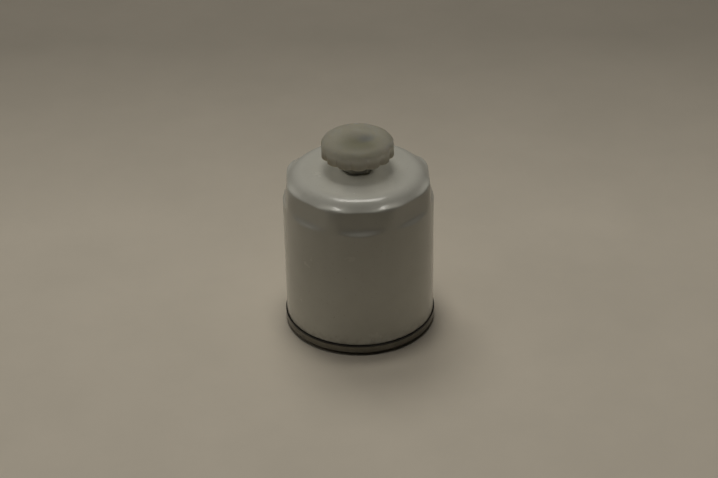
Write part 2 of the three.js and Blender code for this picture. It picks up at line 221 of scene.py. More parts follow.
def close_poles(vertices, faces):
    """Merges the vertices that lie on the axis and drops the faces that this closes up."""
    on_axis = np.hypot(vertices[:, 0], vertices[:, 1]) < 1e-6
    if not on_axis.any():
        return vertices, faces
    heights = sorted(set(np.round(vertices[on_axis, 2], 6)))
    index = np.cumsum(~on_axis) - 1
    base = int(index[-1]) + 1
    for i in np.flatnonzero(on_axis):
        index[i] = base + heights.index(round(vertices[i, 2], 6))
    kept = np.vstack([vertices[~on_axis], [(0, 0, h) for h in heights]])
    made = []
    for face in faces:
        corners = list(dict.fromkeys(int(index[v]) for v in face))
        if len(corners) > 2:
            made.append(corners)
    return kept, made


def swept(path, radius, sides=16):
    """A round wire along a path of points, with closed ends."""
    path = np.asarray(path, float)
    along = np.gradient(path, axis=0)
    along /= np.linalg.norm(along, axis=1)[:, None]
    up = np.tile((0.0, 0.0, 1.0), (len(path), 1))
    side = np.cross(along, up)
    side /= np.linalg.norm(side, axis=1)[:, None]
    over = np.cross(side, along)
    turn = 2 * np.pi * np.arange(sides) / sides
    vertices = (
        path[:, None, :]
        + radius * np.cos(turn)[None, :, None] * side[:, None, :]
        + radius * np.sin(turn)[None, :, None] * over[:, None, :]
    ).reshape(-1, 3)
    faces = []
    for i in range(len(path) - 1):
        a, b = i * sides, (i + 1) * sides
        faces += [(a + j, b + j, b + (j + 1) % sides, a + (j + 1) % sides) for j in range(sides)]
    faces.append(list(range(sides)))
    faces.append(list(range(len(vertices) - 1, len(vertices) - 1 - sides, -1)))
    return vertices, faces


def coil(radius, wire, floor, ceiling, turns, per_turn=40):
    """A coil spring with its end turns lying flat."""
    count = round(turns * per_turn)
    t = np.arange(count + 1) / count
    dead = 0.8 / turns
    rise = np.clip((t - dead) / (1 - 2 * dead), 0, 1)
    rise = rise * rise * (3 - 2 * rise) * 0.25 + rise * 0.75
    angle = 2 * np.pi * turns * t
    height = floor + wire / 2 + (ceiling - floor - wire) * rise
    path = np.stack([radius * np.cos(angle), radius * np.sin(angle), height], 1)
    return swept(path, wire / 2)


def carve(piece, cutters):
    """Cuts meshes of (vertices, faces) out of a piece and sets its normals again."""
    for vertices, faces in cutters:
        mesh = bpy.data.meshes.new("cutter")
        mesh.from_pydata((np.asarray(vertices) * MM).tolist(), [], faces)
        tool = bpy.data.objects.new("cutter", mesh)
        bpy.context.scene.collection.objects.link(tool)
        modifier = piece.modifiers.new("cut", "BOOLEAN")
        modifier.operation, modifier.solver, modifier.object = "DIFFERENCE", "EXACT", tool
        made = bpy.data.meshes.new_from_object(
            piece.evaluated_get(bpy.context.evaluated_depsgraph_get())
        )
        piece.modifiers.remove(modifier)
        piece.data = made
        bpy.data.objects.remove(tool)
    finish_normals(piece, SMOOTH)


def peg(radius, start, end, centre=(0, 0), sides=40):
    """A plain upright cylinder, to cut a hole with."""
    vertices, faces = lathe([(0, start), (radius, start), (radius, end), (0, end)], sides)
    vertices[:, 0] += centre[0]
    vertices[:, 1] += centre[1]
    return vertices, faces


def laid_down(shape, angle, height):
    """An upright cutter turned to lie across the axis in one direction."""
    vertices, faces = shape
    x, y, z = vertices.T
    out = z * math.cos(angle) - y * math.sin(angle)
    across = z * math.sin(angle) + y * math.cos(angle)
    return np.stack([out, across, height - x], 1), faces


# ---------------------------------------------------------------- surface forms
def soft_min(a, b, blend):
    """The smaller of two values, rounded over where they cross."""
    share = np.clip(0.5 + 0.5 * (b - a) / blend, 0, 1)
    return b + (a - b) * share - blend * share * (1 - share)


def off_centre(angle, count, turn):
    """Angle from the nearest of count directions, the first of them turned from the front."""
    step = 2 * np.pi / count
    return (angle - FRONT - turn + step / 2) % step - step / 2


def thread_wave(angle, height, pitch, offset=0.0):
    """From 0 in a right-handed thread's groove to 1 on its crest."""
    phase = (height / pitch - angle / (2 * np.pi) + offset) % 1
    return np.clip(2.2 * np.abs(2 * phase - 1) - 0.6, 0, 1)


def run_in(height, start, end, length=0.8):
    """From 0 at the ends of a thread to 1 inside it."""
    return np.clip(np.minimum(height - start, end - height) / length, 0, 1)


def hexagon(angle, across_flats, turn, corner_loss=0.2):
    """Radius of a hexagon whose corners are slightly broken."""
    apothem = across_flats / 2
    radius = apothem / np.cos(off_centre(angle, 6, turn))
    return soft_min(radius, apothem / math.cos(math.pi / 6) - corner_loss, 0.3)


# ---------------------------------------------------------------- material nodes
class Shader:
    """A material's node tree with short calls for the nodes that are used here."""

    def __init__(self, name):
        self.material = bpy.data.materials.new(name)
        self.material.use_nodes = True
        self.tree = self.material.node_tree
        self.surface = next(n for n in self.tree.nodes if n.type == "BSDF_PRINCIPLED")
        self.place = self.node("ShaderNodeTexCoord").outputs["Object"]

    def node(self, kind, **values):
        made = self.tree.nodes.new(kind)
        for key, value in values.items():
            setattr(made, key, value)
        return made

    def put(self, socket, value):
        if isinstance(value, bpy.types.NodeSocket):
            self.tree.links.new(value, socket)
        else:
            socket.default_value = value

    def set(self, **values):
        for key, value in values.items():
            self.put(self.surface.inputs[key.replace("_", " ")], value)

    def math(self, operation, a, b=0.0, c=0.0):
        made = self.node("ShaderNodeMath", operation=operation)
        for socket, value in zip(made.inputs, (a, b, c)):
            self.put(socket, value)
        return made.outputs[0]

    def axis(self, letter):
        split_up = self.node("ShaderNodeSeparateXYZ")
        self.put(split_up.inputs[0], self.place)
        return split_up.outputs[letter]

    def stretched(self, x, y, z):
        """The place scaled by its own factor along each axis."""
        made = self.node("ShaderNodeVectorMath", operation="MULTIPLY")
        self.put(made.inputs[0], self.place)
        made.inputs[1].default_value = (x, y, z)
        return made.outputs[0]

    def wrapped(self, around, along):
        """(angle, distance from the axis, height) scaled for marks that run round the axis."""
        turn = self.math("ARCTAN2", self.axis("Y"), self.axis("X"))
        squares = [self.math("POWER", self.axis(letter), 2.0) for letter in "XY"]
        out = self.math("SQRT", self.math("ADD", *squares))
        made = self.node("ShaderNodeCombineXYZ")
        self.put(made.inputs[0], self.math("MULTIPLY", turn, around))
        self.put(made.inputs[1], self.math("MULTIPLY", out, along))
        self.put(made.inputs[2], self.math("MULTIPLY", self.axis("Z"), along))
        return made.outputs[0]

    def noise(self, size_mm, detail=3.0, roughness=0.5, vector=None):
        made = self.node("ShaderNodeTexNoise")
        self.put(made.inputs["Vector"], vector or self.place)
        made.inputs["Scale"].default_value = 1000.0 / size_mm if vector is None else 1.0
        made.inputs["Detail"].default_value = detail
        made.inputs["Roughness"].default_value = roughness
        return made.outputs["Fac"]

    def spot(self, centre, radius, strength):
        """A soft round patch about a point in metres, from strength at its middle down to 0."""
        away = self.node("ShaderNodeVectorMath", operation="DISTANCE")
        self.put(away.inputs[0], self.place)
        away.inputs[1].default_value = centre
        near = self.math("SUBTRACT", 1.0, self.math("DIVIDE", away.outputs["Value"], radius))
        return self.ramp(near, (0.0, 0.0), (0.7, strength))

    def ramp(self, value, *stops):
        """A colour or grey that follows value through (position, colour) stops."""
        made = self.node("ShaderNodeValToRGB")
        self.put(made.inputs[0], value)
        elements = made.color_ramp.elements
        while len(elements) < len(stops):
            elements.new(0.5)
        for element, (position, colour) in zip(elements, stops):
            element.position = position
            element.color = (*(colour if hasattr(colour, "__len__") else [colour] * 3), 1)
        return made.outputs[0]

    def mix(self, share, a, b, blend="MIX"):
        made = self.node("ShaderNodeMix", data_type="RGBA", blend_type=blend)
        self.put(made.inputs["Factor"], share)
        self.put(made.inputs[6], (*a, 1) if isinstance(a, tuple) else a)
        self.put(made.inputs[7], (*b, 1) if isinstance(b, tuple) else b)
        return made.outputs[2]

    def bumps(self, *layers):
        """Normal from layers of (height, depth in millimetres)."""
        normal = None
        for value, depth_mm in layers:
            made = self.node("ShaderNodeBump")
            made.inputs["Strength"].default_value = 1.0
            made.inputs["Distance"].default_value = depth_mm * MM
            self.put(made.inputs["Height"], value)
            if normal:
                self.put(made.inputs["Normal"], normal)
            normal = made.outputs[0]
        self.set(Normal=normal)

    def let_through(self, share, colour):
        """Lets a share of the light pass through the surface, scattered."""
        through = self.node("ShaderNodeBsdfTranslucent")
        through.inputs["Color"].default_value = (*colour, 1)
        both = self.node("ShaderNodeMixShader")
        self.put(both.inputs[0], share)
        self.put(both.inputs[1], self.surface.outputs[0])
        self.put(both.inputs[2], through.outputs[0])
        output = next(n for n in self.tree.nodes if n.type == "OUTPUT_MATERIAL")
        self.put(output.inputs["Surface"], both.outputs[0])


def paint_material():
    """Gloss white enamel on drawn steel, darkened towards the seam by soiling and painted shade.
    """
    s = Shader("white_enamel")
    patches = s.noise(45, 4)
    film = s.noise(9, 5, 0.6)
    base = s.ramp(patches, (0.35, (0.64, 0.635, 0.57)), (0.65, (0.69, 0.685, 0.62)))
    base = s.mix(s.ramp(film, (0.45, 0.0), (0.75, 0.12)), base, (0.55, 0.52, 0.45))
    # Painted shade and grime: the enamel is darkened in patches low down towards the seam, where
    # shade gathers.
    low_down = s.ramp(s.math("MULTIPLY", s.axis("Z"), 1 / (30 * MM)), (0.2, 0.5), (0.42, 0.0))
    seam_grime_and_shade = s.math("MULTIPLY", low_down, s.ramp(s.noise(3, 4), (0.4, 0.0), (0.7, 1.0)))
    base = s.mix(seam_grime_and_shade, base, (0.33, 0.30, 0.25))
    specks = s.ramp(s.noise(0.9, 1), (0.74, 0.0), (0.77, 0.55))
    base = s.mix(specks, base, (0.42, 0.38, 0.31))
    smear = s.ramp(s.noise(14, 5, 0.65), (0.3, 0.16), (0.75, 0.30))
    s.set(Base_Color=base, Roughness=smear, Coat_Weight=0.35, Coat_Roughness=0.07)
    s.set(Specular_IOR_Level=0.5)
    s.bumps((s.noise(1.6, 2), 0.006), (s.noise(0.35, 2), 0.0012), (s.noise(22, 2), 0.03))
    return s.material


def steel_material(name, colour, roughness, around=None, stain=0.35, depth_mm=0.01):
    """Bare steel with a rolled grain, or with tool marks round the axis if around is given."""
    s = Shader(name)
    dark = tuple(c * 0.55 for c in colour)
    cloud = s.noise(7, 4, 0.6)
    base = s.mix(s.ramp(cloud, (0.42, 0.0), (0.75, stain)), colour, dark)
    spots = s.ramp(s.noise(1.3, 3), (0.66, 0.0), (0.74, 0.5))
    base = s.mix(spots, base, (0.16, 0.11, 0.07))
    marks = s.wrapped(around, 9000) if around else s.stretched(350, 5200, 5200)
    grain = s.noise(1, 3, 0.6, vector=marks)
    rough = s.ramp(grain, (0.3, roughness - 0.07), (0.7, roughness + 0.1))
    rough = s.math("ADD", rough, s.math("MULTIPLY", cloud, 0.08))
    s.set(Base_Color=base, Metallic=1.0, Roughness=rough)
    s.bumps((grain, depth_mm), (s.noise(2.5, 3), depth_mm))
    return s.material


def seam_material():
    """Dark phosphated steel, black and not metallic along the top edge of the roll."""
    s = Shader("rolled_seam_steel")
    cloud = s.noise(5, 4, 0.6)
    base = s.mix(s.ramp(cloud, (0.4, 0.0), (0.75, 0.5)), (0.24, 0.23, 0.20), (0.11, 0.10, 0.08))
    height = s.math("MULTIPLY", s.axis("Z"), 1000.0)
    # A black, non-metallic band along the top 1.2 mm of the roll, with a wavy lower edge.
    edge = s.math("ADD", height, s.math("MULTIPLY", s.noise(3, 2), 0.35))
    top_edge_black = s.ramp(s.math("SUBTRACT", edge, SEAM_TOP - 1.2), (0.12, 0.0), (0.3, 1.0))
    base = s.mix(top_edge_black, base, (0.012, 0.011, 0.010))
    marks = s.noise(1, 3, 0.6, vector=s.wrapped(14, 9000))
    rough = s.math("ADD", s.ramp(marks, (0.3, 0.2), (0.7, 0.36)), s.math("MULTIPLY", cloud, 0.1))
    s.set(Base_Color=base, Metallic=s.math("SUBTRACT", 1.0, top_edge_black), Roughness=rough)
    s.bumps((marks, 0.012), (s.noise(2.5, 3), 0.012))
    return s.material


def rubber_material(name, colour, sheen_dust=0.25):
    """Moulded rubber with a dull bloom."""
    s = Shader(name)
    bloom = s.ramp(s.noise(6, 4), (0.4, 0.0), (0.75, sheen_dust))
    pale = tuple(min(1.0, c * 1.8 + 0.06) for c in colour)
    base = s.mix(bloom, colour, pale)
    s.set(Base_Color=base, Roughness=s.ramp(s.noise(1.5, 3), (0.3, 0.42), (0.7, 0.62)))
    s.bumps((s.noise(0.5, 3), 0.008), (s.noise(0.12, 2), 0.003))
    return s.material


def nylon_material():
    """Natural nylon: milky, slightly translucent, with moulding flow marks."""
    s = Shader("natural_nylon")
    flow = s.noise(1, 3, 0.55, vector=s.wrapped(2.2, 260))
    base = s.ramp(flow, (0.3, (0.51, 0.50, 0.425)), (0.7, (0.58, 0.57, 0.50)))
    height = s.math("MULTIPLY", s.axis("Z"), 10.0)
    # Painted shade and handling grime: the knob is made darker and browner from the crown's lower
    # edge down over the skirt, the side that the overhead light reaches less.
    base = s.mix(s.ramp(height, (0.98, 0.78), (1.045, 0.0)), base, (0.27, 0.23, 0.135))
    soil = s.ramp(s.noise(2.2, 4), (0.52, 0.0), (0.8, 0.3))
    base = s.mix(soil, base, (0.26, 0.23, 0.16))
    # Painted shade: a broad dark patch over the middle of the top stands in for the shade of the
    # dish and of the stem under it.
    base = s.mix(s.spot((0.0005, -0.008, 0.104), 0.0130, 0.76), base, (0.27, 0.27, 0.17))
    base = s.mix(s.spot((0.0045, -0.0015, 0.104), 0.0055, 0.8), base, (0.27, 0.30, 0.35))
    s.set(Base_Color=base, Roughness=s.ramp(s.noise(3, 3), (0.3, 0.36), (0.7, 0.5)), IOR=1.53)
    s.set(Subsurface_Weight=0.8, Subsurface_Radius=(0.0060, 0.0050, 0.0032), Subsurface_Scale=1.0)
    s.bumps((s.noise(0.25, 2), 0.003), (flow, 0.012))
    s.let_through(s.ramp(height, (0.965, 0.34), (1.02, 0.5)), (0.95, 0.935, 0.88))
    return s.material


def paper_material():
    """Resin-treated filter paper."""
    s = Shader("filter_paper")
    fibre = s.noise(1, 5, 0.7, vector=s.stretched(2500, 2500, 900))
    base = s.ramp(fibre, (0.3, (0.66, 0.52, 0.30)), (0.7, (0.80, 0.69, 0.46)))
    s.set(Base_Color=base, Roughness=0.9, Sheen_Weight=0.15)
    s.bumps((fibre, 0.03))
    return s.material


def potting_material():
    """Cured adhesive with small bubbles."""
    s = Shader("cured_adhesive")
    base = s.ramp(s.noise(5, 3), (0.35, (0.28, 0.34, 0.24)), (0.65, (0.36, 0.43, 0.31)))
    bubbles = s.node("ShaderNodeTexVoronoi")
    s.put(bubbles.inputs["Vector"], s.place)
    bubbles.inputs["Scale"].default_value = 1000 / 1.4
    s.set(Base_Color=base, Roughness=s.ramp(s.noise(2, 3), (0.3, 0.45), (0.7, 0.65)))
    s.bumps((bubbles.outputs["Distance"], 0.05), (s.noise(2.5, 2), 0.1))
    return s.material


enamel = paint_material()
seam_steel = seam_material()
plate_steel = steel_material("stamped_plate_steel", (0.50, 0.49, 0.47), 0.36, stain=0.5)
cap_steel = steel_material("tinned_sheet", (0.62, 0.61, 0.58), 0.30, stain=0.25)
tube_steel = steel_material("perforated_sheet", (0.55, 0.55, 0.53), 0.34)
wire_steel = steel_material("drawn_wire", (0.52, 0.52, 0.50), 0.28, stain=0.2, depth_mm=0.004)
turned_steel = steel_material("turned_dark_steel", (0.34, 0.33, 0.30), 0.48, around=10)
nut_steel = steel_material("plated_nut_steel", (0.50, 0.49, 0.46), 0.32, around=10)
nitrile = rubber_material("black_nitrile", (0.022, 0.022, 0.024))
silicone = rubber_material("red_silicone", (0.42, 0.075, 0.035), 0.12)
nylon = nylon_material()
paper = paper_material()
adhesive = potting_material()


# ---------------------------------------------------------------- can, seam and gasket
def press_flats(radius, angle, height, tag):
    """Presses the wrench flats into the can's wall and shoulder. tag is the depth in its wall."""
    rise = FLAT_KNEE - height
    run_out = RUN_OUT * 0.5 * (rise + np.sqrt(rise * rise + 0.5))
    lean = FLAT_LEAN * np.clip(height - FLAT_KNEE, 0, None)
    off = np.abs(off_centre(angle, FLATS, FLAT_TURN))
    limit = (FLAT_APOTHEM - tag - lean + run_out) / np.cos(off)
    draw_in = np.clip((height - RIDGE_FOOT) / RIDGE_RISE, 0, 1) ** 2
    ridge = CAN_RADIUS - tag - RIDGE_LOSS * draw_in
    limit = soft_min(limit, ridge + 0.8 * run_out, 1.2)
    from_knuckle = (height - KNUCKLE + tag) / KNUCKLE_REACH
    knuckle = np.sin(FLATS * off / 2) ** 2 * np.exp(-(from_knuckle**2))
    return soft_min(radius, limit, 0.4), height + KNUCKLE_LIFT * knuckle


def can_outline():
    """The drawn can in section, from its folded foot up to the hole for the drain body."""
    slope = math.radians(BEVEL)
    outer_end = CAN_RADIUS - SHOULDER * (1 - math.sin(slope))
    inner_end = PLATEAU + EDGE * math.sin(slope)
    band_top = CAN_TOP - EDGE * (1 - math.cos(slope))
    band_foot = band_top - (outer_end - inner_end) * math.tan(slope)
    shoulder = (CAN_RADIUS - SHOULDER, band_foot - SHOULDER * math.cos(slope))
    edge = (PLATEAU, CAN_TOP - EDGE)
    hook = (CAN_RADIUS + 0.25, CAN_FOOT), (CAN_RADIUS + 0.25, CAN_FOOT + 2.6)
    skin = [*hook, (CAN_RADIUS, CAN_FOOT + 2.8)]
    skin += arc(shoulder, SHOULDER, 0, 90 - BEVEL, 36) + arc(edge, EDGE, 90 - BEVEL, 90, 12)
    lining = arc(edge, EDGE - CAN_WALL, 90, 90 - BEVEL, 12)
    lining += arc(shoulder, SHOULDER - CAN_WALL, 90 - BEVEL, 0, 26)
    skin += [(CAN_HOLE, CAN_TOP)]
    lining = [(CAN_HOLE, CAN_TOP - CAN_WALL), *lining, (CAN_RADIUS - CAN_WALL, CAN_FOOT)]
    return [(*p, 0.0) for p in skin] + [(*p, CAN_WALL) for p in lining]


can_mesh = lathe(split(can_outline(), 0.9), 320, press_flats)
make("painted_can", *can_mesh, enamel, SHELL, "can", "white_paint", 50)

seam_line = [
    (CAN_RADIUS + 0.1, SEAM_TOP - 0.3),
    (SEAM_RADIUS - 0.2, SEAM_TOP - 0.18),
    (SEAM_RADIUS - 0.18, SEAM_FOOT + 0.18),
    (36.6, SEAM_FOOT + 0.18),
    (36.6, 5.8),
    (30.85, 5.8),
    (30.85, 3.75),
    (24.5, 3.75),
]
lid_mesh = lathe(sheet(seam_line, 0.35, 0.45), 256)
make("rolled_seam_lid", *lid_mesh, seam_steel, SHELL, "seam_lid", "dark_steel", 50)

gasket_top = high("mount_gasket")
gasket = [(31.3, 0, 0.7), (36.1, 0, 0.7), (36.1, gasket_top, 0.25), (31.3, gasket_top, 0.25)]
gasket_mesh = lathe(split(rounded(gasket, 0.5, 5), 0.8), 192)
make("sealing_gasket", *gasket_mesh, nitrile, SHELL, "mount_gasket", "black_rubber")


# ---------------------------------------------------------------- base plate
STUD_MINOR, STUD_MAJOR, STUD_PITCH = 8.65, 9.45, 25.4 / 16
PLATE_UNDER, HUB_TOP = low("base_plate"), high("base_plate")
PLATE_DECK = PLATE_UNDER + 3.0


def stud_thread(radius, angle, height, tag):
    """Cuts the centre thread into the points of the bore."""
    depth = (STUD_MAJOR - STUD_MINOR) * thread_wave(angle, height, STUD_PITCH)
    return radius + tag * depth * run_in(height, PLATE_UNDER - 0.4, HUB_TOP + 0.4), height


def plate_outline():
    """The plate in section, with the bore's points last. Only those are cut by the thread."""
    outside = rounded(
        [
            (STUD_MINOR, PLATE_UNDER, 0),
            (30.2, PLATE_UNDER, 0.5),
            (30.2, 6.2, 0.5),
            (36.0, 6.2, 0.4),
            (36.0, 9.0, 0.6),
            (27.6, 9.0, 0.8),
            (27.6, PLATE_DECK, 0.7),
            (12.0, PLATE_DECK, 1.4),
            (12.0, HUB_TOP, 0.6),
            (STUD_MINOR, HUB_TOP, 0),
        ],
        0.5,
    )
    steps = 60
    fall = PLATE_UNDER - HUB_TOP
    bore = [(STUD_MINOR, HUB_TOP + fall * i / steps, 1.0) for i in range(1, steps)]
    return [(*p, 0.0) for p in outside] + bore


def base_plate():
    inlets, circle = 8, 21
    mesh = lathe(plate_outline(), 192, stud_thread)
    plate = make("tapped_base_plate", *mesh, plate_steel, SHELL, "base_plate", "bare_steel")
    angles = [2 * math.pi * i / inlets + FRONT for i in range(inlets)]
    carve(plate, [peg(2.8, 3, 8, (circle * math.cos(a), circle * math.sin(a))) for a in angles])


base_plate()

flap_under = [(12.3, 8.6), (15.2, 8.6), (24.6, 7.15), (26.8, 7.15)]
flap_over = [(26.8, 8.05), (25.2, 8.2), (15.8, 9.7), (12.3, 9.7)]
flap_mesh = lathe(rounded(flap_under + flap_over, 0.35), 128)
make("drain_back_flap", *flap_mesh, silicone, SHELL, "anti_drain_flap", "red_rubber")

bush_section = [(12.2, 11.1), (15.4, 11.1), (16.8, 12.3), (16.8, 13.9), (12.2, 13.9)]
bush_mesh = lathe(rounded(bush_section, 0.3), 96)
make("element_bush", *bush_mesh, nitrile, SHELL, "element_seal", "black_rubber")


# ---------------------------------------------------------------- filter element
CAP_LOW, CAP_HIGH = low("lower_end_cap"), high("upper_end_cap")
ELEMENT_FLOOR, ELEMENT_ROOF = low("centre_tube"), high("centre_tube")


def end_cap(name, node, face, rim, bore):
    """A pressed cap: a flat face bent round at its edge into a rim round the paper."""
    way = 1 if rim > face else -1
    middle = face + way * 0.3
    line = [(bore, middle), (31.7, middle), (31.7, rim)]
    make(name, *lathe(sheet(line, 0.6, 1.0), 160), cap_steel, SHELL, node, "bare_steel")


end_cap("lower_cap", "lower_end_cap", CAP_LOW, CAP_LOW + 4, 10.0)
end_cap("upper_cap", "upper_end_cap", CAP_HIGH, CAP_HIGH - 4, 6.5)


def potting(name, node, lowest, upward):
    """A bed of adhesive that creeps up where it meets the paper and the rim."""
    near, far, depth = 11.3, 31.2, 1.5
    creep, waves, count = 0.18, 3, 24
    free = [
        (near + (far - near) * i / count, creep * math.cos(2 * math.pi * waves * i / count))
        for i in range(count + 1)
    ]
    level = lowest + depth - creep if upward else lowest + creep
    surface = [(r, level + (h if upward else -h)) for r, h in free]
    back = lowest if upward else lowest + depth
    mesh = lathe(surface + [(far, back), (near, back)], 128)
    make(name, *mesh, adhesive, SHELL, node, "plastisol")


potting("lower_adhesive", "lower_potting", low("lower_potting"), True)
potting("upper_adhesive", "upper_potting", low("upper_potting"), False)


def perforated_tube():
    inner, outer, rows, per_row = 10.3, 11.0, 5, 6
    ends = (ELEMENT_FLOOR, ELEMENT_ROOF)
    wall = [(inner, ends[0]), (outer, ends[0]), (outer, ends[1]), (inner, ends[1])]
    mesh = lathe(split(rounded(wall, 0.15), 6), 120)
    tube = make("perforated_centre_tube", *mesh, tube_steel, SHELL, "centre_tube", "bare_steel")
    first, last = ELEMENT_FLOOR + 7, ELEMENT_ROOF - 7
    punches = []
    for row in range(rows):
        height = first + (last - first) * row / (rows - 1)
        for i in range(per_row):
            angle = FRONT + 2 * math.pi * (i + 0.5 * (row % 2)) / per_row
            punches.append(laid_down(peg(2.2, 9.4, 12, sides=28), angle, height))
    carve(tube, punches)


perforated_tube()


def pleated_paper():
    """Paper folded back and forth round the tube, with round folds."""
    inner, outer, pleats, thickness = 12.45, 30.15, 36, 0.42
    step = math.pi / pleats
    path = []
    for i in range(2 * pleats):
        centre = (i + 0.5) * step
        radius = outer if i % 2 == 0 else inner
        fold = radius * math.sin(step / 2)
        middle = radius - fold if i % 2 == 0 else radius + fold
        for k in range(7):
            turn = math.pi * k / 6 - math.pi / 2
            out = math.cos(turn) * fold * (1 if i % 2 == 0 else -1)
            across = math.sin(turn) * fold
            path.append(
                (
                    (middle + out) * math.cos(centre) - across * math.sin(centre),
                    (middle + out) * math.sin(centre) + across * math.cos(centre),
                )
            )
    path = np.array(path)
    along = np.roll(path, -1, 0) - np.roll(path, 1, 0)
    side = np.stack([-along[:, 1], along[:, 0]], 1) / np.linalg.norm(along, axis=1)[:, None]
    floor, ceiling = low("pleated_media"), high("pleated_media")
    corners = [(1, floor), (1, ceiling), (-1, ceiling), (-1, floor)]
    rings = [
        np.column_stack([path + side * sign * thickness / 2, np.full(len(path), z)])
        for sign, z in corners
    ]
    vertices = np.stack(rings, 1).reshape(-1, 3)
    faces = []
    for i in range(len(path)):
        a, b = 4 * i, 4 * ((i + 1) % len(path))
        faces += [(a + j, a + (j + 1) % 4, b + (j + 1) % 4, b + j) for j in range(4)]
    make("pleated_paper", vertices, faces, paper, SHELL, "pleated_media", "filter_paper", 30)


pleated_paper()


def seam_clip():
    """A steel strip over the joint in the paper, drawn as a bar with rounded edges in the CAD
    node's box.
    """
    lowest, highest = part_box("media_seam_clip")
    near, far = lowest.x / MM, highest.x / MM
    left, right = lowest.y / MM, highest.y / MM
    section = rounded([(near, left), (far, left), (far, right), (near, right)], 0.2, 4)
    count = len(section)
    ends = (lowest.z / MM, highest.z / MM)
    vertices = [(x, y, z) for z in ends for x, y in section]
    faces = [(i, (i + 1) % count, count + (i + 1) % count, count + i) for i in range(count)]
    faces += [list(range(count))[::-1], list(range(count, 2 * count))]
    make("paper_seam_clip", vertices, faces, cap_steel, SHELL, "media_seam_clip", "bare_steel")


seam_clip()


def bypass_valve():
    floor, roof = low("bypass_cage"), high("bypass_cage")
    line = [(4.4, floor + 0.35), (9.55, floor + 0.35), (9.55, roof)]
    mesh = lathe(split(sheet(line, 0.7, 0.9), 1.0), 96)
    cage = make("bypass_cage_cup", *mesh, cap_steel, SHELL, "bypass_cage", "bare_steel")
    height = (floor + roof) / 2 + 1
    ways = [math.radians(30 + 120 * i) for i in range(3)]
    carve(cage, [laid_down(peg(2.8, 8, 11, sides=32), way, height) for way in ways])

    seal_low, seal_high = low("bypass_seal"), high("bypass_seal")
    seal = [(6.4, seal_low), (8.6, seal_low), (8.6, seal_high), (6.4, seal_high)]
    mesh = lathe(rounded(seal, 0.2), 96)
    make("bypass_seal_ring", *mesh, nitrile, POPPET, "bypass_seal", "black_rubber")

    bottom, top = low("bypass_disc"), high("bypass_disc")
    disc = [
        (0, bottom, 0),
        (4.4, bottom, 0.4),
        (4.4, bottom + 1.3, 0.2),
        (8.6, bottom + 1.3, 0.25),
        (8.6, top - 0.5, 0.25),
        (6.2, top - 0.5, 0.1),
        (6.2, top, 0.2),
        (0, top, 0),
    ]
    mesh = lathe(rounded(disc, 0.2), 96)
    make("bypass_poppet_disc", *mesh, cap_steel, POPPET, "bypass_disc", "bare_steel")

    foot, head = low("bypass_spring"), high("bypass_spring")
    mesh = coil(5.8, 0.9, foot, head, 5)
    wire = make("bypass_coil", *mesh, wire_steel, SHELL, "bypass_spring", "spring_steel")
    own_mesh(wire)


bypass_valve()


# ---------------------------------------------------------------- element spring
def element_spring():
    floor = low("spring_seat")
    line = [(9.2, floor + 0.35), (18.05, floor + 0.35), (18.05, high("spring_seat"))]
    dish = lathe(sheet(line, 0.7, 0.6), 96)
    make("spring_seat_dish", *dish, cap_steel, SHELL, "spring_seat", "bare_steel")
    wire = coil(15.2, 2.0, low("element_spring"), high("element_spring"), 3, 56)
    make("element_coil", *wire, wire_steel, SHELL, "element_spring", "spring_steel")


element_spring()


# ---------------------------------------------------------------- drain valve
STEM_PITCH = 2.0
STEM_MAJOR, STEM_MINOR = 4.0, 3.45
BORE_MAJOR, BORE_MINOR = 4.3, 3.75
BODY_THREAD = (83.2, 89.6)
STEM_THREAD = (83.4, 88.6)
BARREL_RADIUS, BARREL_THREAD, BARREL_PITCH, BARREL_DEPTH = 6.0, (78.4, 86.6), 1.25, 0.45
FLANK, UPPER_EDGE, LOWER_EDGE, STEM_BORE, BARREL = 1, 2, 3, 4, 5


def shape_drain_body(radius, angle, height, tag):
    """Gives the head its hexagon and chamfers, and cuts the threads."""
    six = hexagon(angle, HEX_ACROSS, HEX_TURN)
    radius = np.where((tag >= FLANK) & (tag <= LOWER_EDGE), six, radius)
    fall = np.maximum(six - HEX_CHAMFER, 0) * 0.5
    height = np.where(tag == UPPER_EDGE, height - fall, height)
    height = np.where(tag == LOWER_EDGE, height + fall * 0.6, height)
    wave = thread_wave(angle, height, STEM_PITCH, 0.5)
    inside = (BORE_MAJOR - BORE_MINOR) * wave * run_in(height, *BODY_THREAD)
    wave = thread_wave(angle, height, BARREL_PITCH)
    outside = BARREL_DEPTH * wave * run_in(height, *BARREL_THREAD)
    radius = np.where(tag == STEM_BORE, radius - inside, radius)
    return np.where(tag == BARREL, radius - outside, radius), height


def drain_body_outline():
    foot, end = high("drain_outer_washer") + 0.05, low("drain_body")
    bore = [(2.6, end), (2.6, 80.9), (BORE_MAJOR, 82.4)]
    first, last = BODY_THREAD
    threaded = [(BORE_MAJOR, first + (last - first) * i / 40, STEM_BORE) for i in range(41)]
    mouth = [(BORE_MAJOR, 92.0), (BORE_MAJOR, HEX_TOP - 0.5), (4.8, HEX_TOP), (5.6, HEX_TOP)]
    mouth += [(HEX_CHAMFER, HEX_TOP)]
    side = HEX_ACROSS / 2
    head = [(side, HEX_TOP, UPPER_EDGE)]
    head += [(side, HEX_TOP - 1.2 - (HEX_TOP - foot - 2.0) * i / 6, FLANK) for i in range(7)]
    head += [(side, foot, LOWER_EDGE), (HEX_CHAMFER, foot), (BARREL_RADIUS, foot)]
    top = 86.8
    barrel = [(BARREL_RADIUS, foot - 0.4)]
    barrel += [(BARREL_RADIUS, top - (top - end - 0.6) * i / 50, BARREL) for i in range(51)]
    return bore + threaded + mouth + head + barrel + [(5.4, end)]


